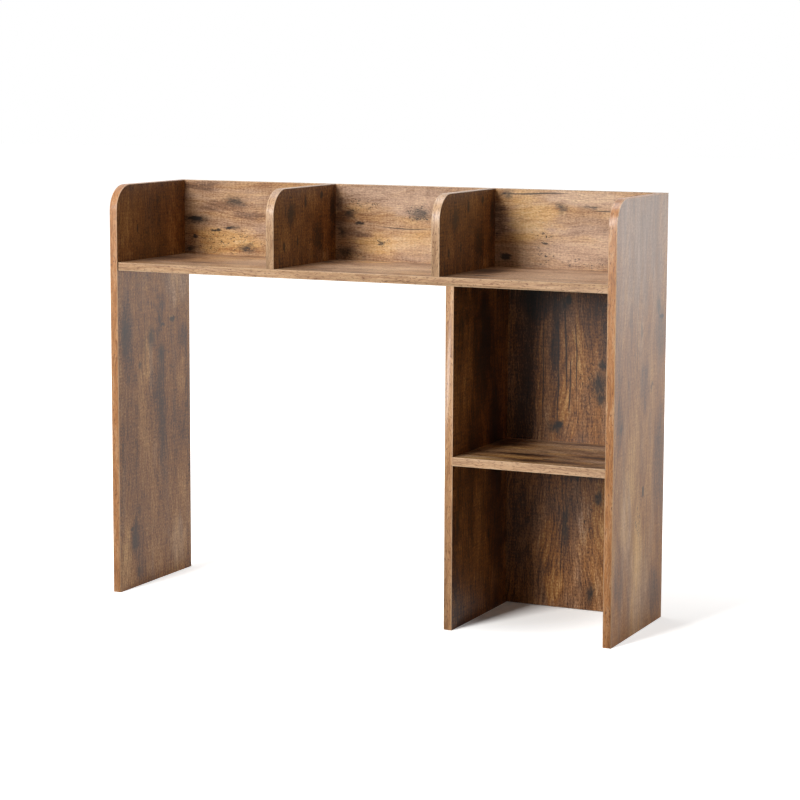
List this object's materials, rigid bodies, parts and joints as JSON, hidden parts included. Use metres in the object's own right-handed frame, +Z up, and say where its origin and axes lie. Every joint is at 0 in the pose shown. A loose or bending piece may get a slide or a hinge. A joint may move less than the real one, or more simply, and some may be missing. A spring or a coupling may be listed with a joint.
{
  "type": "over-desk hutch bookshelf",
  "caption": "Free-standing hutch that straddles a desk: side panels, a long shelf with open bays above it, and a cubby with compartments under its right end.",
  "frame": {"origin": "on the floor, in the middle of the hutch's footprint (lower centre of its bounding box)", "axes": "+X to the right as seen from the front, +Y from front to rear, +Z up"},
  "size_m": [0.965, 0.255, 0.743],
  "materials": {
    "wood_laminate": "satin printed wood-grain laminate on particle board, rustic brown",
    "edge_band": "light oak printed edge banding with a soft sheen",
    "zinc_cam": "die-cast zinc, dull",
    "steel_fastener": "zinc-plated steel",
    "beech_dowel": "raw beech, a plain turned rod"
  },
  "bodies": {
    "root": {"left_side_front_band": "edge_band", "left_side_panel": "wood_laminate", "left_side_rear_band": "edge_band", "left_upper_divider": "wood_laminate", "left_upper_divider_band": "edge_band", "long_shelf": "wood_laminate", "long_shelf_cam_bolts": "steel_fastener", "long_shelf_cams": "zinc_cam", "long_shelf_dowels": "beech_dowel", "long_shelf_front_band": "edge_band", "long_shelf_rear_band": "edge_band", "lower_back_panel": "wood_laminate", "lower_back_panel_cam_bolts": "steel_fastener", "lower_back_panel_cams": "zinc_cam", "lower_back_panel_dowels": "beech_dowel", "lower_divider": "wood_laminate", "lower_divider_cam_bolts": "steel_fastener", "lower_divider_cams": "zinc_cam", "lower_divider_dowels": "beech_dowel", "lower_divider_front_band": "edge_band", "lower_divider_rear_band": "edge_band", "middle_shelf": "wood_laminate", "middle_shelf_cam_bolts": "steel_fastener", "middle_shelf_cams": "zinc_cam", "middle_shelf_dowels": "beech_dowel", "middle_shelf_front_band": "edge_band", "middle_shelf_rear_screws": "steel_fastener", "right_side_front_band": "edge_band", "right_side_panel": "wood_laminate", "right_side_rear_band": "edge_band", "right_upper_divider": "wood_laminate", "right_upper_divider_band": "edge_band", "upper_back_panel": "wood_laminate", "upper_back_panel_cam_bolts": "steel_fastener", "upper_back_panel_cams": "zinc_cam", "upper_back_panel_dowels": "beech_dowel", "upper_back_panel_screws": "steel_fastener", "upper_back_top_band": "edge_band", "upper_divider_rear_screws": "steel_fastener", "upper_divider_screws": "steel_fastener"}
  },
  "joints": []
}
